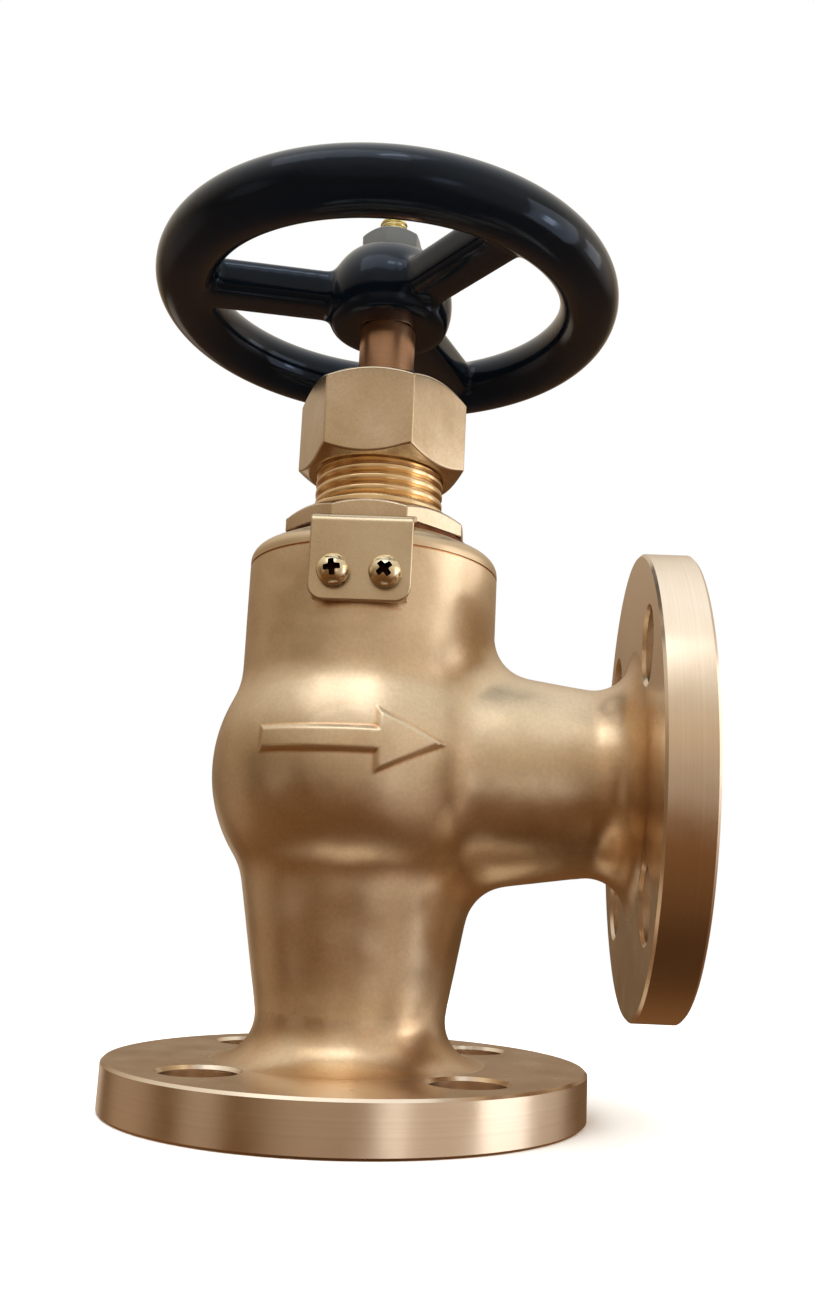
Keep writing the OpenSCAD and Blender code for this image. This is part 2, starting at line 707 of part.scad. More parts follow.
module disc_nut() {
    hex_h = 3;
    color(bronze) difference() {
        union() {
            translate([0, 0, disc_nut_z]) cylinder(r = disc_nut_r, h = disc_nut_t);
            translate([0, 0, disc_nut_z + disc_nut_t - eps]) cylinder(r = disc_nut_r, h = hex_h, $fn = 6);
        }
        translate([0, 0, disc_nut_z - over])
            cylinder(r = stem_neck_d / 2 + free_gap, h = disc_nut_t + hex_h + 2 * over);
        disc_pin_axis() cylinder(d = lock_pin_d + 2 * thread_fit, h = disc_socket_d);
    }
}

module disc_nut_pin() {
    color(steel) disc_pin_axis() cylinder(d = lock_pin_d, h = disc_socket_d / 2 - pin_from - side_gap);
}

module stem() {
    button_r = stem_button_d / 2;
    button_top = button_z + button_h;
    neck_r = stem_neck_d / 2;
    neck_top = disc_nut_z + disc_nut_t + 4;
    thread_r = stem_thread_d / 2;
    thread_top = stem_thread_z + stem_thread_l - over;
    square_top = hub_top - 0.8;
    square_corner = stem_square * 0.66;
    tip_r = stem_tip_d / 2;
    color(brass) {
        rotate_extrude() polygon([
            [0, button_z], [button_r - edge, button_z], [button_r, button_z + edge], [button_r, button_top],
            [neck_r, button_top], [neck_r, neck_top], [stem_r, neck_top + stem_r - neck_r],
            [stem_r, stem_thread_z - thread_r + stem_r], [thread_r, stem_thread_z],
            [thread_r, thread_top - thread_r + stem_r], [stem_r, thread_top], [stem_r, hub_foot],
            [0, hub_foot]]);
        intersection() {
            translate([-stem_square / 2, -stem_square / 2, hub_foot - over])
                cube([stem_square, stem_square, square_top - hub_foot + over]);
            cylinder(r = square_corner, h = square_top);
        }
        rotate_extrude() polygon([
            [0, square_top - over], [tip_r, square_top - over], [tip_r, stem_top - edge],
            [tip_r - edge, stem_top], [0, stem_top]]);
    }
}

module handwheel() {
    hub_r = hub_d / 2;
    rim_r = rim_t / 2;
    rim_centre = wheel_d / 2 - rim_r;
    half = spoke_h / 2;
    flare_r = half + spoke_blend;
    flare_x = sqrt(pow(hub_r + spoke_blend, 2) - pow(flare_r, 2));
    flare_share = hub_r / (hub_r + spoke_blend);
    square_hole = stem_square + 2 * side_gap;
    color(black_paint) translate([0, 0, wheel_z]) difference() {
        union() {
            rotate_extrude() translate([rim_centre, 0]) circle(rim_r);
            rotate_extrude() hub_section(hub_r);
            for (i = [0:spoke_count - 1]) rotate([0, 90, spoke_angle + i * 360 / spoke_count]) {
                linear_extrude(rim_centre) rounded_bar([spoke_h, spoke_w], spoke_round);
                rotate_extrude() corner_fill([[0, hub_r * 0.7], [half * 0.9, hub_r * 0.7],
                    [flare_r, flare_x] * flare_share, [half, flare_x], [0, flare_x]],
                    [flare_r, flare_x], spoke_blend);
            }
        }
        translate([-square_hole / 2, -square_hole / 2, -hub_r]) cube([square_hole, square_hole, hub_d]);
    }
}

// half section of the hub: a ball with a flat top and a flat foot
module hub_section(r) {
    intersection() {
        translate([0, -hub_sink]) circle(r);
        polygon([[0, -hub_below], [r * 0.83, -hub_below], [r * 0.92, -hub_below + edge],
                 [r + over, -hub_below + 4 * over], [r + over, hub_above], [0, hub_above]]);
    }
}

module rounded_bar(size, r) {
    c = size / 2 - [r, r];
    square([size.x, 2 * c.y], center = true);
    square([2 * c.x, size.y], center = true);
    for (x = [-c.x, c.x], y = [-c.y, c.y]) translate([x, y]) circle(r);
}

module handwheel_washer() {
    color(dark_grey) translate([0, 0, hub_top]) difference() {
        cylinder(r = wheel_nut_flats / 2 / cos(30) + free_gap, h = wheel_washer_t);
        translate([0, 0, -over])
            cylinder(r = stem_tip_d / 2 + 2 * side_gap, h = wheel_washer_t + 2 * over);
    }
}

module handwheel_nut() {
    flat_r = wheel_nut_flats / 2;
    corner_r = flat_r / cos(30);
    outer = corner_r + over;
    color(dark_grey) translate([0, 0, wheel_nut_z]) difference() {
        intersection() {
            rotate(wheel_nut_angle) cylinder(r = corner_r, h = wheel_nut_h, $fn = 6);
            rotate_extrude() polygon([
                [0, 0], [outer, 0], [outer, wheel_nut_h - (outer - flat_r + edge / 2) * tan(30)],
                [flat_r - edge / 2, wheel_nut_h], [0, wheel_nut_h]]);
        }
        translate([0, 0, -over]) cylinder(r = stem_tip_d / 2 + thread_fit, h = wheel_nut_h + 2 * over);
    }
}

valve_body();
seat_ring();
bonnet_gasket();
bonnet();
lock_plate();
lock_plate_washers();
lock_plate_screws();
packing_washer();
packing_ring(1);  // packing_ring_1
packing_ring(2);  // packing_ring_2
packing_ring(3);  // packing_ring_3
packing_ring(4);  // packing_ring_4
gland();
gland_nut();
disc();
thrust_pad();
disc_nut();
disc_nut_pin();
stem();
handwheel();
handwheel_washer();
handwheel_nut();
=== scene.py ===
import bpy
import bmesh
from math import atan2, cos, hypot, pi, radians, sin, tan
from mathutils import Matrix, Vector


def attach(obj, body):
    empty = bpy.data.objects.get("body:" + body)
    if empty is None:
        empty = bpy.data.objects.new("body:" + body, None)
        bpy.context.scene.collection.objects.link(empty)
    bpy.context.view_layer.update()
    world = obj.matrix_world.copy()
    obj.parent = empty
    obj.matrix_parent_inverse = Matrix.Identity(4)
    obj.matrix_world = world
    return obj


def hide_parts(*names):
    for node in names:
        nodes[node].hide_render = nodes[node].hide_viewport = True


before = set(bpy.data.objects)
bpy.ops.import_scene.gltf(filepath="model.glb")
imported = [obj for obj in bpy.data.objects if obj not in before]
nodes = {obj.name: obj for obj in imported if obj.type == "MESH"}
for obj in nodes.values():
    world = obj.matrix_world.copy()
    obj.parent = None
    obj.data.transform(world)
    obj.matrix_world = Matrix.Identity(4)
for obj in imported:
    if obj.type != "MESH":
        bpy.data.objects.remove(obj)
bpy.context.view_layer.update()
mm = 0.001
outletAxis = 87.5 * mm                          # height of the outlet's axis above the inlet's face
cadGap, weldGap = 1e-6, 2e-6                    # corners nearer than this are one, in metres


def linear(code):                               # an sRGB hex colour as linear RGB and alpha
    parts = [int(code[i:i + 2], 16) / 255 for i in (1, 3, 5)]
    return [c / 12.92 if c <= 0.04045 else ((c + 0.055) / 1.055) ** 2.4 for c in parts] + [1.0]


def addNode(tree, kind, inputs=None, **settings):
    made = tree.nodes.new(kind)
    for name, value in settings.items():
        setattr(made, name, value)
    for name, value in (inputs or {}).items():
        if isinstance(value, bpy.types.NodeSocket):
            tree.links.new(value, made.inputs[name])
        else:
            made.inputs[name].default_value = value
    return made


def newMaterial(name):
    made = bpy.data.materials.new(name)
    made.use_nodes = True
    made.node_tree.nodes.clear()
    return made, made.node_tree


# camera: low, close to the valve and turned a little, as the valve is seen in use
view = {"place": (33.29, -313.72, 52.88), "yaw": -1.43, "pitch": 9.80, "roll": 2.37,
        "lens": 31.67, "sensor": 36, "shift": (-0.0397, 0.0399), "clip": (0.01, 50)}


def setCamera():
    data = bpy.data.cameras.new("camera")
    data.lens = view["lens"]
    data.sensor_width = view["sensor"]
    data.shift_x, data.shift_y = view["shift"]
    data.clip_start, data.clip_end = view["clip"]
    camera = bpy.data.objects.new("camera", data)
    bpy.context.scene.collection.objects.link(camera)
    turn = (Matrix.Rotation(radians(-view["yaw"]), 3, "Z")
            @ Matrix.Rotation(radians(90 + view["pitch"]), 3, "X")
            @ Matrix.Rotation(radians(view["roll"]), 3, "Z"))
    camera.matrix_world = Matrix.Translation(Vector(view["place"]) * mm) @ turn.to_4x4()
    bpy.context.scene.camera = camera


# studio: softboxes that the metal mirrors, and a fill that only lights the floor
softboxes = {                                   # azimuth and height in degrees, sizes in metres
    "topBox": {"azimuth": -22, "height": 57, "far": 1.1, "size": (0.95, 0.5), "radiance": 1.0},
    "lamp": {"azimuth": 4, "height": 56, "far": 1.0, "size": (0.14, 0.09), "radiance": 4.2},
    "rightBox": {"azimuth": 80, "height": 5, "far": 1.0, "size": (0.5, 0.9), "radiance": 1.35},
    "window": {"azimuth": 76, "height": 3, "far": 0.95, "size": (0.1, 0.24), "radiance": 6},
    "backStrip": {"azimuth": 107, "height": 13, "far": 1.0, "size": (0.22, 0.42), "radiance": 1.3},
    "floorFill": {"azimuth": 0, "height": 89, "far": 2.4, "size": (4, 4), "radiance": 2.4,
                  "mirrored": False},
}
studioMiddle = Vector((0, 0, 0.1))              # what the softboxes stand around and face
surround = {                                    # a room, warm brown below and pale above
    "strength": 1.3,
    "tones": [(0.0, "#3E2816"), (0.1, "#5E4026"), (0.25, "#6A482A"), (0.38, "#63452A"),
              (0.46, "#5A452E"), (0.52, "#64503A"), (0.6, "#86705A"), (0.67, "#A4917A"),
              (0.82, "#CBC2B4"), (0.93, "#E2DED6"), (1.0, "#F4F4F2")],
    # brighter patches of it, such as a lit wall or a doorway
    "patches": [{"azimuth": 109, "height": 6, "wide": 30, "tone": "#FFF4E6", "share": 0.4},
                {"azimuth": 48, "height": 0, "wide": 44, "tone": "#FFF4E6", "share": 0.34},
                {"azimuth": 27, "height": -8, "wide": 10, "tone": "#FFFFFF", "share": 0.62},
                {"azimuth": -8, "height": 4, "wide": 34, "tone": "#FFF0DC", "share": 0.2},
                {"azimuth": -60, "height": -6, "wide": 16, "tone": "#FFF0DC", "share": 0.22},
                {"azimuth": -107, "height": -8, "wide": 26, "tone": "#FFE8CC", "share": 0.16},
                {"azimuth": -150, "height": -6, "wide": 12, "tone": "#FFF0DC", "share": 0.4}],
}
stage = {"floor": 12, "backdrop": 5.9, "fade": (0.2, 0.6),      # in metres
         "floorTone": "#F7F7F6", "paper": "#FFFFFF"}


def towards(azimuth, height):
    turn, rise = radians(azimuth), radians(height)
    return Vector((sin(turn) * cos(rise), -cos(turn) * cos(rise), sin(rise)))


def addSoftbox(name, azimuth, height, far, size, radiance, mirrored=True):
    data = bpy.data.lights.new(name, "AREA")
    data.shape = "RECTANGLE"
    data.size, data.size_y = size
    data.energy = radiance * pi * size[0] * size[1]
    light = bpy.data.objects.new(name, data)
    bpy.context.scene.collection.objects.link(light)
    way = towards(azimuth, height)
    light.location = way * far + studioMiddle
    light.rotation_euler = (-way).to_track_quat("-Z", "Y").to_euler()
    light.visible_camera = False
    light.visible_glossy = mirrored


def setSurround():
    world = bpy.data.worlds.new("surround")
    bpy.context.scene.world = world
    world.use_nodes = True
    tree = world.node_tree
    tree.nodes.clear()
    coords = addNode(tree, "ShaderNodeTexCoord")
    split = addNode(tree, "ShaderNodeSeparateXYZ", {0: coords.outputs["Generated"]})
    height = addNode(tree, "ShaderNodeMapRange", {"Value": split.outputs["Z"], "From Min": -1.0})
    sky = addNode(tree, "ShaderNodeValToRGB", {"Fac": height.outputs[0]})
    ramp = sky.color_ramp
    ramp.elements[0].color = linear(surround["tones"][0][1])
    ramp.elements[1].color = linear(surround["tones"][-1][1])
    for place, tone in surround["tones"][1:-1]:
        ramp.elements.new(place).color = linear(tone)
    tint = sky.outputs["Color"]
    for patch in surround["patches"]:
        middle = towards(patch["azimuth"], patch["height"])
        facing = addNode(tree, "ShaderNodeVectorMath", {0: coords.outputs["Generated"], 1: middle},
                         operation="DOT_PRODUCT")
        share = addNode(tree, "ShaderNodeMapRange", {
            "Value": facing.outputs["Value"], "From Min": cos(radians(patch["wide"])),
            "To Max": patch["share"]}, interpolation_type="SMOOTHSTEP")
        mixed = addNode(tree, "ShaderNodeMix", {0: share.outputs[0], 6: tint,
                                                7: linear(patch["tone"])},
                        data_type="RGBA", blend_type="ADD")
        tint = mixed.outputs[2]
    back = addNode(tree, "ShaderNodeBackground", {"Color": tint, "Strength": surround["strength"]})
    addNode(tree, "ShaderNodeOutputWorld", {"Surface": back.outputs[0]})


def setStage():
    bpy.ops.mesh.primitive_plane_add(size=stage["floor"], location=(0, 0, 0))
    floor = bpy.context.object
    floor.name = "floor"
    material, tree = newMaterial("paleFloor")   # white paper that fades into the backdrop
    paper = addNode(tree, "ShaderNodeBsdfDiffuse", {"Color": linear(stage["floorTone"])})
    bright = addNode(tree, "ShaderNodeEmission", {"Color": linear(stage["paper"]), "Strength": 1.0})
    coords = addNode(tree, "ShaderNodeTexCoord")
    far = addNode(tree, "ShaderNodeVectorMath", {0: coords.outputs["Object"]}, operation="LENGTH")
    fade = addNode(tree, "ShaderNodeMapRange", {
        "Value": far.outputs["Value"], "From Min": stage["fade"][0], "From Max": stage["fade"][1]})
    mixed = addNode(tree, "ShaderNodeMixShader", {0: fade.outputs[0], 1: paper.outputs[0],
                                                  2: bright.outputs[0]})
    addNode(tree, "ShaderNodeOutputMaterial", {"Surface": mixed.outputs[0]})
    floor.data.materials.append(material)
    floor.visible_glossy = False                # the metal mirrors the surround and not the floor
    bpy.ops.mesh.primitive_uv_sphere_add(segments=64, ring_count=32, radius=stage["backdrop"])
    dome = bpy.context.object
    dome.name = "backdrop"
    material, tree = newMaterial("paleBackdrop")
    bright = addNode(tree, "ShaderNodeEmission", {"Color": linear(stage["paper"]), "Strength": 1.0})
    addNode(tree, "ShaderNodeOutputMaterial", {"Surface": bright.outputs[0]})
    dome.data.materials.append(material)
    for flag in ("visible_glossy", "visible_diffuse", "visible_shadow", "visible_transmission"):
        setattr(dome, flag, False)


setCamera()
for name, box in softboxes.items():
    addSoftbox(name, **box)
setSurround()
setStage()
bpy.context.scene.view_settings.view_transform = "Standard"
print("camera and studio")


# what every piece is made with
def focus(*pieces):
    for other in bpy.context.selected_objects:
        other.select_set(False)
    for piece in pieces:
        piece.select_set(True)
    bpy.context.view_layer.objects.active = pieces[0]


def newest(name):
    made = bpy.context.object
    made.name = name
    return made


def applyPlace(piece):                          # moves its place, turn and scale into its mesh
    focus(piece)
    bpy.ops.object.transform_apply(location=True, rotation=True, scale=True)


def editMode(piece, kind="FACE", every=True):
    focus(piece)
    bpy.ops.object.mode_set(mode="EDIT")
    bpy.ops.mesh.select_mode(type=kind)
    bpy.ops.mesh.select_all(action="SELECT" if every else "DESELECT")


def objectMode():
    bpy.ops.object.mode_set(mode="OBJECT")


def choose(piece, kind, test):                  # selects what passes a test, and stays in edit mode
    editMode(piece, kind, every=False)
    mesh = bmesh.from_edit_mesh(piece.data)
    for item in (mesh.edges if kind == "EDGE" else mesh.faces):
        if test(item):
            item.select = True
    bmesh.update_edit_mesh(piece.data)


def copyNode(node, name):                       # a merged copy of a CAD node's loose triangles
    made = bpy.data.objects.new(name, nodes[node].data.copy())
    bpy.context.scene.collection.objects.link(made)
    focus(made)
    bpy.ops.mesh.customdata_custom_splitnormals_clear()
    editMode(made)
    bpy.ops.mesh.remove_doubles(threshold=cadGap)
    objectMode()
    return made


def addModifier(piece, kind, **settings):
    focus(piece)
    made = piece.modifiers.new(kind.lower(), kind)
    for name, value in settings.items():
        setattr(made, name, value)
    bpy.ops.object.modifier_apply(modifier=made.name)


def combine(piece, tool, operation):            # a Boolean with a tool that is then thrown away
    addModifier(piece, "BOOLEAN", operation=operation, object=tool, solver="EXACT")
    bpy.data.objects.remove(tool)


def keepSide(piece, place, normal, fill=False):  # cuts off what lies behind a plane
    editMode(piece)
    bpy.ops.mesh.bisect(plane_co=place, plane_no=normal, clear_inner=True, use_fill=fill,
                        threshold=cadGap)
    objectMode()


def fixNormals(piece):
    editMode(piece)
    bpy.ops.mesh.normals_make_consistent(inside=False)
    objectMode()


def smoothUnder(piece, angle, flats=False):
    focus(piece)
    bpy.ops.object.shade_smooth_by_angle(angle=radians(angle))
    if flats:                                   # large flats stay flat up to their rounded edges
        addModifier(piece, "WEIGHTED_NORMAL", mode="FACE_AREA", weight=100, keep_sharp=True)


def outline(name, points):                      # a line in the XZ plane, extruded from one vertex
    bpy.ops.mesh.primitive_plane_add(size=mm, location=(0, 0, 0))
    made = newest(name)
    editMode(made, "VERT")
    bpy.ops.mesh.merge(type="CENTER")
    bpy.ops.mesh.select_all(action="SELECT")
    bpy.ops.transform.translate(value=(points[0][0] * mm, 0, points[0][1] * mm))
    for start, end in zip(points, points[1:]):
        step = ((end[0] - start[0]) * mm, 0, (end[1] - start[1]) * mm)
        bpy.ops.mesh.extrude_region_move(TRANSFORM_OT_translate={"value": step})
    objectMode()
    return made


def turned(name, points, sides=96):             # a closed outline spun about the Z axis
    made = outline(name, points)
    editMode(made, "EDGE")
    bpy.ops.mesh.spin(steps=sides, angle=2 * pi, center=(0, 0, 0), axis=(0, 0, 1))
    bpy.ops.mesh.select_all(action="SELECT")
    bpy.ops.mesh.remove_doubles(threshold=weldGap)
    bpy.ops.mesh.dissolve_degenerate(threshold=weldGap)
    objectMode()
    fixNormals(made)
    return made


def prism(name, shape, sides):                  # a straight bar with flats, the first towards -Y
    low, high = shape["low"], shape["high"]
    radius = shape["flats"] / 2 / cos(pi / sides)
    bpy.ops.mesh.primitive_cylinder_add(vertices=sides, radius=radius * mm, depth=(high - low) * mm,
                                        location=(0, 0, (low + high) / 2 * mm))
    made = newest(name)
    made.rotation_euler = (0, 0, radians(shape["angle"]) + pi / sides)
    applyPlace(made)
    return made


def edgeAngle(edge):
    return edge.calc_face_angle(0) if len(edge.link_faces) == 2 else 0


def roundEdges(piece, width, sharp, segments=3):  # every edge that turns by more than sharp degrees
    choose(piece, "EDGE", lambda edge: edgeAngle(edge) > radians(sharp))
    bpy.ops.mesh.bevel(offset=width * mm, segments=segments, profile=0.5, clamp_overlap=True)
    objectMode()


def setMaterials(piece, *materials):
    piece.data.materials.clear()
    for material in materials:
        piece.data.materials.append(material)


def setPiece(piece, body, material, replaced):
    applyPlace(piece)
    if material not in list(piece.data.materials):
        setMaterials(piece, material)
    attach(piece, body)
    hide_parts(*replaced)


# one ridge of a thread: along the pitch, and how deep it is cut there, both as shares
ridge = [(0, 0.10), (0.10, 0.02), (0.22, 0.0), (0.34, 0.02), (0.44, 0.10), (0.54, 0.45),
         (0.64, 0.88), (0.72, 1.0), (0.82, 0.88), (0.92, 0.45), (1, 0.10)]
spareTurns = 2                                  # turns past each end of a thread, cut off again


def threadBar(name, radius, depth, pitch, low, high):    # a solid screw with rounded ridges
    start = low - spareTurns * pitch
    made = outline(name, [(radius - depth * cut, start + pitch * share) for share, cut in ridge])
    turns = int((high - low) / pitch) + 2 * spareTurns
    addModifier(made, "SCREW", angle=2 * pi, screw_offset=pitch * mm, iterations=turns, steps=96,
                render_steps=96)
    editMode(made)
    bpy.ops.mesh.remove_doubles(threshold=weldGap)  # each turn joined to the next
    objectMode()
    keepSide(made, (0, 0, low * mm), (0, 0, 1), fill=True)
    keepSide(made, (0, 0, high * mm), (0, 0, -1), fill=True)
    fixNormals(made)
    return made


# materials: patch, grain, pitch, peel, depth and swell are the real sizes of patterns, in mm
toneSizes = {"swell": 13, "turned": 14, "paint": 12}     # broad waves and changes of tone


def noiseScale(size):
    return 1 / (size * mm)


def bronzeSkin(name, tones, roughness, patch, grain, depth, swell=0.0, edges=0.0):
    # tones are dark, middle and light; patch is for tones, grain for the fine bumps
    material, tree = newMaterial(name)
    place = addNode(tree, "ShaderNodeTexCoord").outputs["Object"]
    broad = addNode(tree, "ShaderNodeTexNoise", {"Vector": place, "Scale": noiseScale(patch),
                                                 "Detail": 4, "Roughness": 0.55})
    tone = addNode(tree, "ShaderNodeValToRGB", {"Fac": broad.outputs["Fac"]})
    ramp = tone.color_ramp
    ramp.elements[0].position, ramp.elements[0].color = 0.30, linear(tones[0])
    ramp.elements[1].position, ramp.elements[1].color = 0.72, linear(tones[2])
    ramp.elements.new(0.5).color = linear(tones[1])
    fine = addNode(tree, "ShaderNodeTexNoise", {"Vector": place, "Scale": noiseScale(grain),
                                                "Detail": 2})
    speck = addNode(tree, "ShaderNodeMapRange", {"Value": fine.outputs["Fac"], "From Min": 0.35,
                                                 "From Max": 0.65, "To Min": 0.94, "To Max": 1.02})
    mottled = addNode(tree, "ShaderNodeMix", {0: 1.0, 6: tone.outputs["Color"],
                                              7: speck.outputs[0]},
                      data_type="RGBA", blend_type="MULTIPLY")
    colour = mottled.outputs[2]
    if edges:                                   # browner hollows, for the casting's even mesh
        worn = addNode(tree, "ShaderNodeNewGeometry").outputs["Pointiness"]
        edge = addNode(tree, "ShaderNodeMapRange", {"Value": worn, "From Min": 0.5 - edges,
                                                    "From Max": 0.5})
        rubbed = addNode(tree, "ShaderNodeMix", {0: edge.outputs[0], 6: linear("#E8BE94"),
                                                 7: linear("#FFFFFF")}, data_type="RGBA")
        colour = addNode(tree, "ShaderNodeMix", {0: 1.0, 6: colour, 7: rubbed.outputs[2]},
                         data_type="RGBA", blend_type="MULTIPLY").outputs[2]
    rough = addNode(tree, "ShaderNodeMapRange", {
        "Value": broad.outputs["Fac"], "From Min": 0.3, "From Max": 0.7,
        "To Min": roughness[0], "To Max": roughness[1]})
    soft = addNode(tree, "ShaderNodeTexNoise", {
        "Vector": place, "Scale": noiseScale(toneSizes["swell"]), "Detail": 1})
    wave = addNode(tree, "ShaderNodeBump", {"Height": soft.outputs["Fac"], "Strength": 1.0,
                                            "Distance": swell * mm})
    bump = addNode(tree, "ShaderNodeBump", {"Height": fine.outputs["Fac"], "Strength": 1.0,
                                            "Distance": depth * mm, "Normal": wave.outputs[0]})
    shader = addNode(tree, "ShaderNodeBsdfPrincipled", {
        "Base Color": colour, "Metallic": 1.0, "Roughness": rough.outputs[0],
        "Normal": bump.outputs[0]})
    addNode(tree, "ShaderNodeOutputMaterial", {"Surface": shader.outputs[0]})
    return material


def turnedSkin(name, tones, roughness, pitch, depth, centre=(0, 0, 0), turn=(0, 0, 0), shake=0.25):
    # rings left by a lathe tool: the pattern changes only with the radius and along the axis
    material, tree = newMaterial(name)
    coords = addNode(tree, "ShaderNodeTexCoord")
    place = addNode(tree, "ShaderNodeMapping", {"Vector": coords.outputs["Object"],
                                                "Location": centre, "Rotation": turn},
                    vector_type="POINT")
    split = addNode(tree, "ShaderNodeSeparateXYZ", {0: place.outputs[0]})
    flat = addNode(tree, "ShaderNodeCombineXYZ", {"X": split.outputs["X"], "Y": split.outputs["Y"]})
    radius = addNode(tree, "ShaderNodeVectorMath", {0: flat.outputs[0]}, operation="LENGTH")
    ring = addNode(tree, "ShaderNodeCombineXYZ", {"X": radius.outputs["Value"],
                                                  "Y": split.outputs["Z"]})
    tooth = addNode(tree, "ShaderNodeTexNoise", {"Vector": ring.outputs[0],
                                                 "Scale": noiseScale(pitch), "Detail": 2})
    broad = addNode(tree, "ShaderNodeTexNoise", {
        "Vector": coords.outputs["Object"], "Scale": noiseScale(toneSizes["turned"]),
        "Detail": 5, "Roughness": 0.6})
    tone = addNode(tree, "ShaderNodeMix", {0: broad.outputs["Fac"], 6: linear(tones[0]),
                                           7: linear(tones[1])}, data_type="RGBA")
    streak = addNode(tree, "ShaderNodeMapRange", {
        "Value": tooth.outputs["Fac"], "From Min": 0.3, "From Max": 0.7,
        "To Min": 1 - shake, "To Max": 1.0})
    shaded = addNode(tree, "ShaderNodeMix", {0: 1.0, 6: tone.outputs[2], 7: streak.outputs[0]},
                     data_type="RGBA", blend_type="MULTIPLY")
    rough = addNode(tree, "ShaderNodeMapRange", {
        "Value": broad.outputs["Fac"], "From Min": 0.3, "From Max": 0.7,
        "To Min": roughness[0], "To Max": roughness[1]})
    bump = addNode(tree, "ShaderNodeBump", {"Height": tooth.outputs["Fac"], "Strength": 1.0,
                                            "Distance": depth * mm})
    shader = addNode(tree, "ShaderNodeBsdfPrincipled", {
        "Base Color": shaded.outputs[2], "Metallic": 1.0, "Roughness": rough.outputs[0],
        "Normal": bump.outputs[0]})
    addNode(tree, "ShaderNodeOutputMaterial", {"Surface": shader.outputs[0]})
    return material


def paintSkin(name, tones, roughness, peel, depth, shine, glint="#FFFFFF"):
    # peel is the size of the orange peel's bumps, glint the colour of the paint's reflections
    material, tree = newMaterial(name)
    place = addNode(tree, "ShaderNodeTexCoord").outputs["Object"]
    broad = addNode(tree, "ShaderNodeTexNoise", {
        "Vector": place, "Scale": noiseScale(toneSizes["paint"]), "Detail": 5, "Roughness": 0.6})
    tone = addNode(tree, "ShaderNodeMix", {0: broad.outputs["Fac"], 6: linear(tones[0]),
                                           7: linear(tones[1])}, data_type="RGBA")
    rough = addNode(tree, "ShaderNodeMapRange", {
        "Value": broad.outputs["Fac"], "From Min": 0.3, "From Max": 0.7,
        "To Min": roughness[0], "To Max": roughness[1]})
    skin = addNode(tree, "ShaderNodeTexNoise", {"Vector": place, "Scale": noiseScale(peel),
                                                "Detail": 2})
    bump = addNode(tree, "ShaderNodeBump", {"Height": skin.outputs["Fac"], "Strength": 1.0,
                                            "Distance": depth * mm})
    shader = addNode(tree, "ShaderNodeBsdfPrincipled", {
        "Base Color": tone.outputs[2], "Roughness": rough.outputs[0], "Specular IOR Level": shine,
        "Specular Tint": linear(glint), "Normal": bump.outputs[0]})
    addNode(tree, "ShaderNodeOutputMaterial", {"Surface": shader.outputs[0]})
    return material


outletTurn = {"centre": (outletAxis, 0, 0), "turn": (0, -pi / 2, 0)}    # the rings' axis, laid down
# sand-cast bronze blasted with fine grit: soft satin highlights, browner hollows, faintly wavy
castBronze = bronzeSkin("blastedCastBronze", ("#D5C1A2", "#E2CEB0", "#EDDCC2"), (0.3, 0.38),
                        patch=28, grain=0.9, depth=0.012, swell=0.5, edges=0.03)
# turned bronze: bright, with rings of tool marks, drawn 0.8 mm apart as the real 0.2 would vanish
faceBronze = turnedSkin("turnedBronzeUpright", ("#EBD8C0", "#F5E7D6"), (0.2, 0.28),
                        pitch=0.8, depth=0.001, shake=0.05)
outletBronze = turnedSkin("turnedBronzeOutlet", ("#EBD8C0", "#F5E7D6"), (0.2, 0.28),
                          pitch=0.8, depth=0.001, shake=0.05, **outletTurn)
# the same cut left coarser on the shoulder, so it is almost as satin as the casting
shoulderBronze = turnedSkin("turnedBronzeShoulder", ("#D5C1A2", "#E2CEB0"), (0.34, 0.42),
                            pitch=0.8, depth=0.002, shake=0.08)
# milled and brushed flats: flat planes with one even tone each and a slight sheen
nutBronze = bronzeSkin("brushedNutBronze", ("#C4B094", "#CEBCA2", "#DACAB4"), (0.18, 0.26),
                       patch=14, grain=0.7, depth=0.002, swell=0.06)
# a die-cut thread: golden and streaky along the ridges
threadBronze = turnedSkin("cutThreadBronze", ("#E8C898", "#F4D8AE"), (0.2, 0.28),
                          pitch=0.6, depth=0.003, shake=0.12)
# ground and polished stem, redder than the casting, its light drawn out into upright bands
stemBronze = turnedSkin("polishedStemBronze", ("#F0B68A", "#FCCCA6"), (0.3, 0.38),
                        pitch=0.5, depth=0.001, shake=0.12)
# yellow brass where the stem's end stays bare
tipBrass = turnedSkin("brassStemTip", ("#D8CC92", "#EDE2B0"), (0.2, 0.3), pitch=0.4, depth=0.002)
# annealed copper with a sheared edge: dull, broken by paler specks; its dark red-brown is partly
# the copper's own colour and partly painted shade of the gap under the collar
gasketCopperAndShade = bronzeSkin("roughCopperPaintedShade", ("#4A2818", "#6C4029", "#8C5E40"), (0.45, 0.6),
                          patch=5, grain=0.5, depth=0.12)
# rolled sheet: flat and even, a little greyer than the casting
plateBronze = bronzeSkin("rolledBronzeSheet", ("#C6B598", "#D0C0A4", "#DACCB2"), (0.24, 0.32),
                         patch=20, grain=0.4, depth=0.003, swell=0.06)
# turned brass screws: small round highlights, with painted shade, near black, on the cross recess's
# walls and floor
screwBrass = turnedSkin("turnedScrewBrass", ("#E6D4AE", "#F0E2C2"), (0.2, 0.3),
                        pitch=0.4, depth=0.003, shake=0.1)
# painted shade: a near-black colour for the shade that falls inside the screwdriver's cross
recessShade = bronzeSkin("paintedShadeInTheRecess", ("#1C120A", "#2A1A10", "#3C2818"), (0.5, 0.65),
                         patch=1, grain=0.2, depth=0.03)
# oiled spring steel: grey and satin
washerSteel = bronzeSkin("springSteel", ("#8F8A80", "#A5A096", "#BDB8AE"), (0.3, 0.42),
                         patch=3, grain=0.3, depth=0.01)
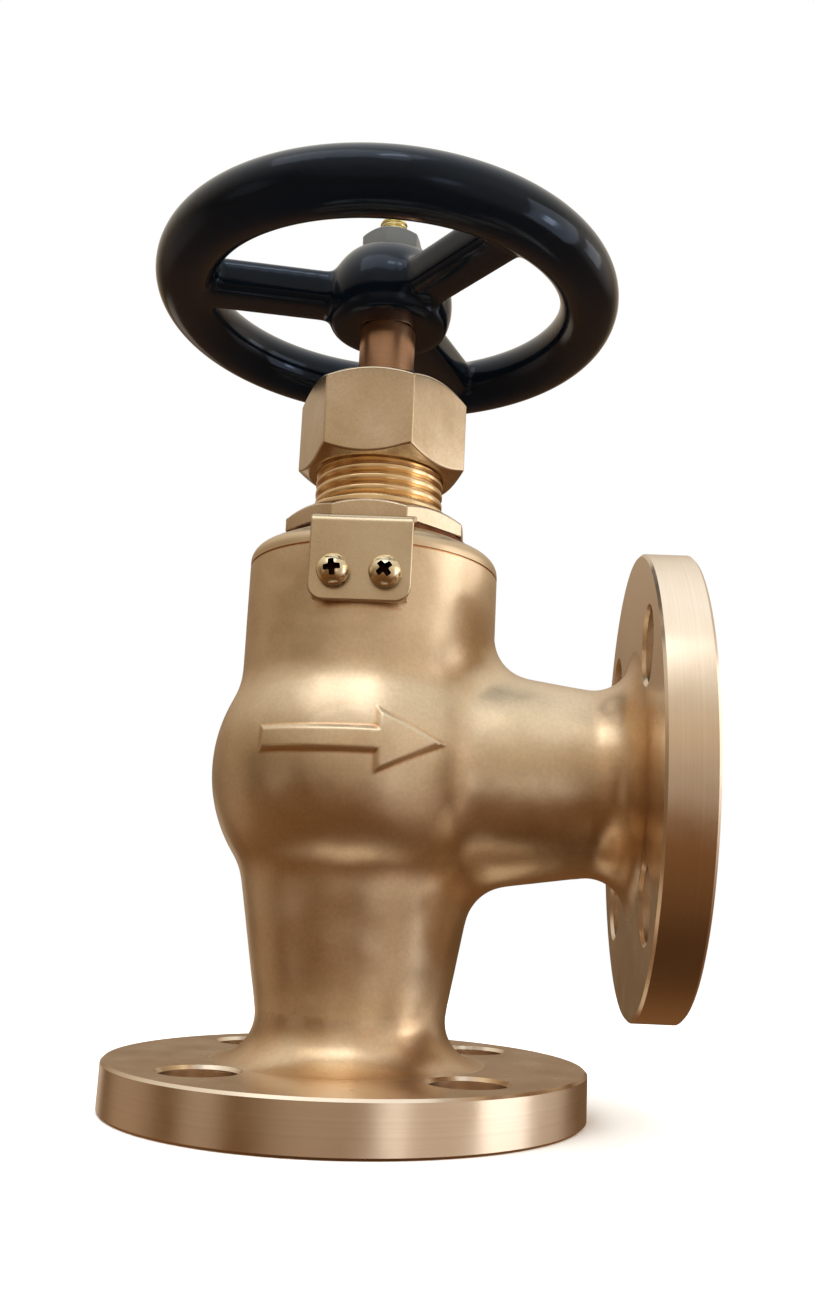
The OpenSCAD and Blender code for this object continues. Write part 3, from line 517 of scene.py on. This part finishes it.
# machined parts inside, with plain tool marks
innerBronze = turnedSkin("machinedBronze", ("#E6CBA2", "#F0DAB8"), (0.25, 0.35),
                         pitch=0.5, depth=0.004)
# thick enamel poured over the wheel: blue-black, sharp small highlights, a faint orange peel
blackEnamel = paintSkin("blackEnamel", ("#04070B", "#080D12"), (0.09, 0.14),
                        peel=2.4, depth=0.016, shine=0.44, glint="#A9BEE0")
# a thinner grey coat on the wheel's nut and washer, which leaves their edges crisp
greyEnamel = paintSkin("darkGreyEnamel", ("#5F6466", "#6F7375"), (0.25, 0.36),
                       peel=1.2, depth=0.02, shine=0.5)
# graphite yarn pressed into rings: near black with a dull metallic gleam
packingGraphite = bronzeSkin("pressedGraphite", ("#26262A", "#34343A", "#44444A"), (0.4, 0.55),
                             patch=2, grain=0.4, depth=0.05)
print("materials")

# cast body: the core is remeshed into one soft skin, and the turned ends keep their own edges
casting = {"grid": 1.0, "softening": 20, "seam": 0.5,
           "inletTop": 12.51, "outletBack": 72.49, "shoulder": 143.2}
# where the skin ends, the way back into it, a radius between its outer and inner edge there, and
# the plane that parts an end from the others
castingEnds = {"inlet": {"place": (0, 0, 26), "inwards": (0, 0, 1), "between": 20,
                         "limit": (68, 0, 0), "keep": (-1, 0, 0)},
               "outlet": {"place": (58, 0, 0), "inwards": (-1, 0, 0), "between": 20,
                          "limit": (0, 0, 20), "keep": (0, 0, 1)},
               "top": {"place": (0, 0, 125.6), "inwards": (0, 0, -1), "between": 29,
                       "limit": (68, 0, 0), "keep": (-1, 0, 0)}}
arrow = {"middle": (0, 92), "length": 44, "shaft": 5.5, "head": 15, "headLength": 15, "overlap": 2,
         "height": 0.8, "foot": 1.8, "margin": 3, "front": -30}


def bridgeRing(piece, end, inside):             # joins skin and end along their outer or inner edge
    editMode(piece, "EDGE", every=False)
    mesh = bmesh.from_edit_mesh(piece.data)
    place, inwards = Vector(end["place"]) * mm, Vector(end["inwards"])
    reach = 2 * casting["seam"] * mm

    def onRing(point):
        radius = hypot(point.y, point.z - outletAxis) if inwards.x else hypot(point.x, point.y)
        near = abs((point - place).dot(inwards)) < reach
        return near and (radius < end["between"] * mm) == inside

    for edge in mesh.edges:
        if edge.is_boundary and all(onRing(corner.co) for corner in edge.verts):
            edge.select = True
    bmesh.update_edit_mesh(piece.data)
    bpy.ops.mesh.bridge_edge_loops()
    objectMode()


def arrowDepth(across, up):                     # how far inside the arrow's outline, in mm
    tip = arrow["length"] / 2
    neck = tip - arrow["headLength"]
    shaft = min(arrow["shaft"] / 2 - abs(up), across + tip, neck + arrow["overlap"] - across)
    slope = arrow["head"] / 2 / arrow["headLength"]
    head = min(((tip - across) * slope - abs(up)) / hypot(slope, 1), across - neck)
    return max(shaft, head)


def raiseArrow(body):
    # a cast flow arrow on the front of the bowl, pointing to the outlet
    middle = arrow["middle"]
    wide, high = arrow["length"] / 2 + arrow["margin"], arrow["head"] / 2 + arrow["margin"]

    def near(point):
        return (abs(point.x / mm - middle[0]) < wide and abs(point.z / mm - middle[1]) < high
                and point.y / mm < arrow["front"])

    choose(body, "FACE", lambda face: near(face.calc_center_median()))
    bpy.ops.mesh.subdivide(number_cuts=2, smoothness=0)
    objectMode()
    group = body.vertex_groups.new(name="arrow")
    for corner in body.data.vertices:
        if near(corner.co):
            depth = arrowDepth(corner.co.x / mm - middle[0], corner.co.z / mm - middle[1])
            share = min(max(depth / arrow["foot"] + 0.5, 0), 1)
            group.add([corner.index], share * share * (3 - 2 * share), "REPLACE")
    addModifier(body, "DISPLACE", direction="NORMAL", mid_level=0, strength=arrow["height"] * mm,
                vertex_group="arrow")
    body.vertex_groups.clear()


def makeCasting():
    body = copyNode("valve_body", "body_casting")
    addModifier(body, "REMESH", mode="VOXEL", voxel_size=casting["grid"] * mm)
    addModifier(body, "SMOOTH", factor=0.5, iterations=casting["softening"])
    seam = casting["seam"] * mm
    ends = []
    for name, shape in castingEnds.items():
        place, inwards = Vector(shape["place"]) * mm, Vector(shape["inwards"])
        keepSide(body, place + inwards * seam, inwards)
        end = copyNode("valve_body", name + "End")
        keepSide(end, place - inwards * seam, -inwards)
        keepSide(end, Vector(shape["limit"]) * mm, shape["keep"])
        ends.append(end)
    focus(body, *ends)
    bpy.ops.object.join()
    for shape in castingEnds.values():
        for inside in (True, False):
            bridgeRing(body, shape, inside)
    fixNormals(body)
    raiseArrow(body)
    setMaterials(body, castBronze, faceBronze, outletBronze, shoulderBronze)
    onInlet, onOutlet, onShoulder = 1, 2, 3     # places of the lathe's materials in that row
    for face in body.data.polygons:
        corners = [body.data.vertices[index].co / mm for index in face.vertices]
        if min(corner.x for corner in corners) > casting["outletBack"]:
            face.material_index = onOutlet
        elif max(corner.z for corner in corners) < casting["inletTop"]:
            face.material_index = onInlet
        elif min(corner.z for corner in corners) > casting["shoulder"]:
            face.material_index = onShoulder
    smoothUnder(body, 23)
    setPiece(body, "valve", castBronze, ["valve_body"])


makeCasting()
print("cast body")

# bonnet: eight-sided collar, bead and the thread that carries the gland nut
bonnetShape = {
    "lathe": [(0, 116.7), (14.4, 116.7), (16, 118.3), (16, 127.1), (21, 128.7), (21, 157.4),
              (19.0, 157.9), (19.45, 158.1), (19.6, 158.5), (19.6, 160.8), (19.4, 161.4),
              (18.9, 161.8), (18.2, 162.1), (17.6, 162.5), (16.8, 162.9), (16.8, 184.3),
              (0, 184.3)],
    "thread": {"radius": 18, "depth": 1.1, "pitch": 3, "low": 161.1, "high": 185.4},
    "turnedOff": [(0, 161.6), (17.2, 161.6), (18.3, 162.7), (18.3, 183.7), (17.2, 184.8),
                  (0, 184.8)],
    "bore": [(0, 110), (9.05, 110), (9.05, 141.2), (9.45, 141.2), (9.45, 152.2), (8.05, 152.2),
             (8.05, 159.4), (12, 159.4), (12, 184.2), (12.8, 185), (12.8, 190), (0, 190)]}
collarShape = {"flats": 48.6, "low": 152.9, "high": 158.5, "angle": 0, "round": 0.55, "sharp": 17,
               "inner": 21.5, "spare": 0.05,
               "cone": [(0, 152), (28.3, 152), (28.3, 155.1), (23.5, 158.5), (0, 158.5)]}


def makeBonnet():
    made = turned("bonnet_body", bonnetShape["lathe"])
    thread = threadBar("bonnetThread", **bonnetShape["thread"])
    combine(thread, turned("threadEnds", bonnetShape["turnedOff"]), "INTERSECT")
    combine(made, thread, "UNION")
    collar = prism("collar", collarShape, sides=8)
    combine(collar, turned("collarCone", collarShape["cone"]), "INTERSECT")
    roundEdges(collar, collarShape["round"], collarShape["sharp"])
    combine(made, collar, "UNION")
    combine(made, turned("bonnetBore", bonnetShape["bore"]), "DIFFERENCE")
    smoothUnder(made, 35, flats=True)
    setMaterials(made, threadBronze, nutBronze)
    onCollar = 1
    low = collarShape["low"] - collarShape["spare"]
    high = collarShape["high"] + collarShape["spare"]
    for face in made.data.polygons:
        middle = face.center / mm
        if low < middle.z < high and hypot(middle.x, middle.y) > collarShape["inner"]:
            face.material_index = onCollar
    setPiece(made, "valve", threadBronze, ["bonnet"])


makeBonnet()
print("bonnet")

# copper gasket with a rough sheared edge
gasketShape = {"ring": [(21.3, 150.8), (26.2, 150.8), (26.4, 151.1), (26.4, 151.8), (25.9, 152.3),
                        (25, 152.88), (21.3, 152.88), (21.3, 150.8)],
               "sides": 128, "roughFrom": 24, "shake": 0.15}


def makeGasket():
    made = turned("gasket_ring", gasketShape["ring"], gasketShape["sides"])
    rough = gasketShape["roughFrom"] * mm
    choose(made, "EDGE", lambda edge: all(hypot(v.co.x, v.co.y) > rough for v in edge.verts))
    bpy.ops.mesh.subdivide(number_cuts=1)
    bpy.ops.transform.vertex_random(offset=gasketShape["shake"] * mm, seed=4)
    objectMode()
    smoothUnder(made, 40)
    # its dark tones are partly painted shade of the gap between collar and shoulder
    setPiece(made, "valve", gasketCopperAndShade, ["bonnet_gasket"])


makeGasket()
print("gasket")

# gland nut: a hexagon with turned ends, its corners softened by handling
nutShape = {"flats": 42, "low": 172.2, "high": 197.4, "angle": -5.5, "round": 0.6, "sharp": 24,
            "ends": [(0, 172.2), (20.05, 172.2), (26, 176.52), (26, 193.63), (20.2, 197.4),
                     (0, 197.4)],
            "bore": [(0, 171), (18.05, 171), (18.05, 191.4), (8.4, 191.4), (8.4, 199), (0, 199)]}


def makeNut(name, shape, body, material, replaced):
    made = prism(name, shape, sides=6)
    combine(made, turned("nutEnds", shape["ends"], sides=72), "INTERSECT")
    editMode(made)
    bpy.ops.mesh.remove_doubles(threshold=shape["round"] * mm)   # slivers would stop the bevel
    objectMode()
    roundEdges(made, shape["round"], shape["sharp"])
    combine(made, turned("nutBore", shape["bore"]), "DIFFERENCE")
    smoothUnder(made, 35, flats=True)
    setPiece(made, body, material, replaced)


makeNut("gland_nut_body", nutShape, "union_nut", nutBronze, ["gland_nut"])
print("gland nut")

# lock plate: bent sheet, its lip under the collar
plateShape = {"bottom": 127.0, "back": 34.8, "front": 36.6, "bend": (34.0, 147.4),
              "radii": (0.8, 2.6), "bendSteps": 8, "slope": 19, "lipEnd": 24.4, "wide": 26,
              "corner": 4, "edge": 0.5, "sharp": 34, "holes": 6.5, "holeHeight": 134.3,
              "hole": 2.9, "drill": 10}


def bendPoint(radius, angle):                   # a point of the bend, seen from the side
    x, z = plateShape["bend"]
    return x + radius * cos(radians(angle)), z + radius * sin(radians(angle))


def lipPoint(radius):                           # where the sloping lip ends, above or below
    start = bendPoint(radius, 90 - plateShape["slope"])
    run = start[0] - plateShape["lipEnd"]
    return plateShape["lipEnd"], start[1] + run * tan(radians(plateShape["slope"]))


def makePlate():
    inner, outer = plateShape["radii"]
    count = plateShape["bendSteps"]
    steps = [(90 - plateShape["slope"]) * i / count for i in range(count + 1)]
    points = [(plateShape[side], plateShape["bottom"]) for side in ("back", "front")]
    points += [bendPoint(outer, angle) for angle in steps] + [lipPoint(outer), lipPoint(inner)]
    points += [bendPoint(inner, angle) for angle in reversed(steps)]
    made = outline("lock_plate_sheet", points)
    wide = plateShape["wide"] * mm
    editMode(made, "VERT")
    bpy.ops.mesh.edge_face_add()
    bpy.ops.transform.translate(value=(0, -wide / 2, 0))
    bpy.ops.mesh.extrude_region_move(TRANSFORM_OT_translate={"value": (0, wide, 0)})
    objectMode()
    fixNormals(made)
    made.rotation_euler = (0, 0, -pi / 2)       # from the outlet's side round to the front
    applyPlace(made)
    justAbove = (plateShape["bottom"] + 0.01) * mm

    def lowCorner(edge):
        along = (edge.verts[0].co - edge.verts[1].co).normalized()
        return abs(along.y) > 0.9 and all(v.co.z < justAbove for v in edge.verts)

    choose(made, "EDGE", lowCorner)
    bpy.ops.mesh.bevel(offset=plateShape["corner"] * mm, segments=8, affect="EDGES")
    objectMode()
    roundEdges(made, plateShape["edge"], plateShape["sharp"])
    middle = (plateShape["back"] + plateShape["front"]) / 2
    for side in (-1, 1):
        place = Vector((side * plateShape["holes"], -middle, plateShape["holeHeight"])) * mm
        bpy.ops.mesh.primitive_cylinder_add(vertices=48, radius=plateShape["hole"] * mm,
                                            depth=plateShape["drill"] * mm, location=place,
                                            rotation=(pi / 2, 0, 0))
        combine(made, newest("plateHole"), "DIFFERENCE")
    smoothUnder(made, 40, flats=True)
    setPiece(made, "valve", plateBronze, ["lock_plate"])


makePlate()
print("lock plate")

# screws and spring washers: one of each made standing up, then laid against the plate
screwShape = {"head": 4.1, "side": 1.0, "high": 3.5, "domeSteps": 8, "shank": 2.5, "foot": -11.5,
              "footEdge": 0.5, "headEdge": 0.25, "face": -37.7, "turns": (8, 39)}
recessShape = {"arm": 5.2, "slit": 1.6, "deep": 2.4, "over": 1, "taper": (0.62, 0.8), "round": 0.3,
               "sharp": 57, "shadeReach": 2.75, "shadeBelow": 1.2, "spare": 0.1}
washerShape = {"ring": [(2.7, 0), (3.9, 0), (3.9, 1.1), (2.7, 1.1)], "gap": 12, "split": -60,
               "edge": 0.12, "sharp": 68, "face": -36.6, "turns": (0, 25)}


def layAgainst(piece, face, turns):             # laid down to point out of the plate, at both holes
    twin = piece.copy()
    twin.data = piece.data.copy()
    bpy.context.scene.collection.objects.link(twin)
    for side, one, turn in ((-1, piece, turns[0]), (1, twin, turns[1])):
        one.location = Vector((side * plateShape["holes"], face, plateShape["holeHeight"])) * mm
        one.rotation_euler = (Matrix.Rotation(pi / 2, 3, "X")
                              @ Matrix.Rotation(radians(turn), 3, "Z")).to_euler()
        applyPlace(one)
    focus(piece, twin)
    bpy.ops.object.join()


def makeRecess(top):                            # the screwdriver's cross, narrower at its foot
    narrow, wide = recessShape["taper"]
    foot = top - recessShape["deep"]
    high = recessShape["deep"] + recessShape["over"]
    bars = []
    for turn, shares in ((0, (narrow, wide, 1)), (90, (wide, narrow, 1))):
        bpy.ops.mesh.primitive_cube_add(size=1, location=(0, 0, (foot + high / 2) * mm))
        bar = newest("recessBar")
        bar.scale = Vector((recessShape["arm"], recessShape["slit"], high)) * mm
        bar.rotation_euler = (0, 0, radians(turn))
        applyPlace(bar)
        choose(bar, "FACE", lambda face: face.normal.z < -0.9)
        bpy.ops.transform.resize(value=shares, center_override=(0, 0, foot * mm))
        objectMode()
        bars.append(bar)
    cross, other = bars
    combine(cross, other, "UNION")
    roundEdges(cross, recessShape["round"], recessShape["sharp"], segments=2)
    return cross


def makeScrews():
    r, side, high = screwShape["head"], screwShape["side"], screwShape["high"]
    shank, foot = screwShape["shank"], screwShape["foot"]
    footEdge, headEdge = screwShape["footEdge"], screwShape["headEdge"]
    count = screwShape["domeSteps"]
    dome = (r ** 2 + (high - side) ** 2) / (2 * (high - side))
    low = high - dome                           # the dome's centre
    arc = [(dome * sin(t), low + dome * cos(t)) for t in
           [atan2(r, side - low) * (count - i) / count for i in range(count)]]
    head = [(0, foot), (shank - footEdge, foot), (shank, foot + footEdge), (shank, 0),
            (r - headEdge, 0), (r, headEdge)]
    made = turned("lock_plate_screw_pair", head + arc + [(0, high)], sides=64)
    combine(made, makeRecess(high), "DIFFERENCE")
    setMaterials(made, screwBrass, recessShade)
    inRecess = 1
    for face in made.data.polygons:             # painted shade on the cross's walls and floor
        middle = face.center / mm
        inside = (hypot(middle.x, middle.y) < recessShape["shadeReach"]
                  and middle.z > high - recessShape["deep"] - recessShape["spare"])
        if inside and (face.normal.z < 0.3 or middle.z < high - recessShape["shadeBelow"]):
            face.material_index = inRecess
    smoothUnder(made, 38)
    layAgainst(made, screwShape["face"], screwShape["turns"])
    setPiece(made, "valve", screwBrass, ["lock_plate_screws"])


def makeWashers():
    made = outline("lock_plate_washer_pair", washerShape["ring"])
    editMode(made, "VERT")
    bpy.ops.mesh.edge_face_add()
    bpy.ops.mesh.spin(steps=60, angle=radians(360 - washerShape["gap"]), center=(0, 0, 0),
                      axis=(0, 0, 1))
    bpy.ops.mesh.select_all(action="SELECT")
    bpy.ops.transform.rotate(value=radians(-washerShape["split"] - washerShape["gap"] / 2),
                             orient_axis="Z", center_override=(0, 0, 0))
    objectMode()
    fixNormals(made)
    roundEdges(made, washerShape["edge"], washerShape["sharp"], segments=1)
    smoothUnder(made, 35)
    layAgainst(made, washerShape["face"], washerShape["turns"])
    setPiece(made, "valve", washerSteel, ["lock_plate_washers"])


makeScrews()
makeWashers()
print("screws and washers")

# stem: button, neck, the long thread inside, plain shank, square end and threaded tip
stemShape = {
    "lathe": [(0, 75), (8.7, 75), (9.5, 75.8), (9.5, 78.6), (9.1, 79), (6, 79), (6, 89.4),
              (8, 91.4), (8, 111.7), (7.6, 112.4), (7.6, 142.4), (8, 143.2), (8, 217.6),
              (0, 217.6)],
    "thread": {"radius": 9, "depth": 1.35, "pitch": 3, "low": 112.2, "high": 142.2},
    "tipThread": {"radius": 4, "depth": 0.7, "pitch": 1.25, "low": 238.2, "high": 252.8},
    "tipEnds": [(0, 238), (4.2, 238), (4.2, 252), (3.3, 252.8), (0, 252.8)],
    "square": {"flats": 11, "low": 216.6, "high": 238.9, "angle": 0},
    "squareCorners": [(0, 210), (7.26, 210), (7.26, 238.4), (6.9, 238.9), (0, 238.9)]}


def makeStem():
    made = turned("stem_rod", stemShape["lathe"])
    combine(made, threadBar("stemThread", **stemShape["thread"]), "UNION")
    square = prism("stemSquare", stemShape["square"], sides=4)
    combine(square, turned("squareCorners", stemShape["squareCorners"]), "INTERSECT")
    combine(made, square, "UNION")
    tip = threadBar("tipThread", **stemShape["tipThread"])
    combine(tip, turned("tipEnds", stemShape["tipEnds"], sides=48), "INTERSECT")
    combine(made, tip, "UNION")
    setMaterials(made, stemBronze, tipBrass)
    for face in made.data.polygons:             # everything above the square is bare brass
        face.material_index = int(face.center.z > stemShape["square"]["high"] * mm)
    smoothUnder(made, 38)
    setPiece(made, "spindle", stemBronze, ["stem"])


makeStem()
print("stem")

# handwheel: one casting under thick enamel, so every joint is rounded
wheelShape = {"grid": 0.75, "softening": 20}


def makeHandwheel():
    made = copyNode("handwheel", "handwheel_casting")
    addModifier(made, "REMESH", mode="VOXEL", voxel_size=wheelShape["grid"] * mm)
    addModifier(made, "SMOOTH", factor=0.5, iterations=wheelShape["softening"])
    smoothUnder(made, 60)
    setPiece(made, "spindle", blackEnamel, ["handwheel"])


makeHandwheel()

# its nut and washer
capNutShape = {"flats": 16, "low": 240.9, "high": 247.3, "angle": 24, "round": 0.3, "sharp": 24,
               "ends": [(0, 240.9), (9.6, 240.9), (9.6, 246.03), (7.4, 247.3), (0, 247.3)],
               "bore": [(0, 240), (4.06, 240), (4.06, 246.7), (4.7, 247.34), (4.7, 248), (0, 248)]}
wheelWasherShape = {"ring": [(4.2, 239.7), (9.4, 239.7), (9.64, 239.9), (9.64, 240.7), (9.4, 240.9),
                             (4.2, 240.9), (4.2, 239.7)]}


def makeWheelWasher():
    made = turned("wheel_washer_ring", wheelWasherShape["ring"])
    smoothUnder(made, 35)
    setPiece(made, "spindle", greyEnamel, ["handwheel_washer"])


makeNut("wheel_nut_body", capNutShape, "spindle", greyEnamel, ["handwheel_nut"])
makeWheelWasher()
print("handwheel, its nut and washer")

# parts inside keep their CAD meshes under their own finishes
finishes = {"disc_nut_pin": washerSteel, "thrust_pad": washerSteel}
for name, node in nodes.items():
    if "packing_ring" in name:
        finishes[name] = packingGraphite
    setMaterials(node, finishes.get(name, innerBronze))
print("parts inside")
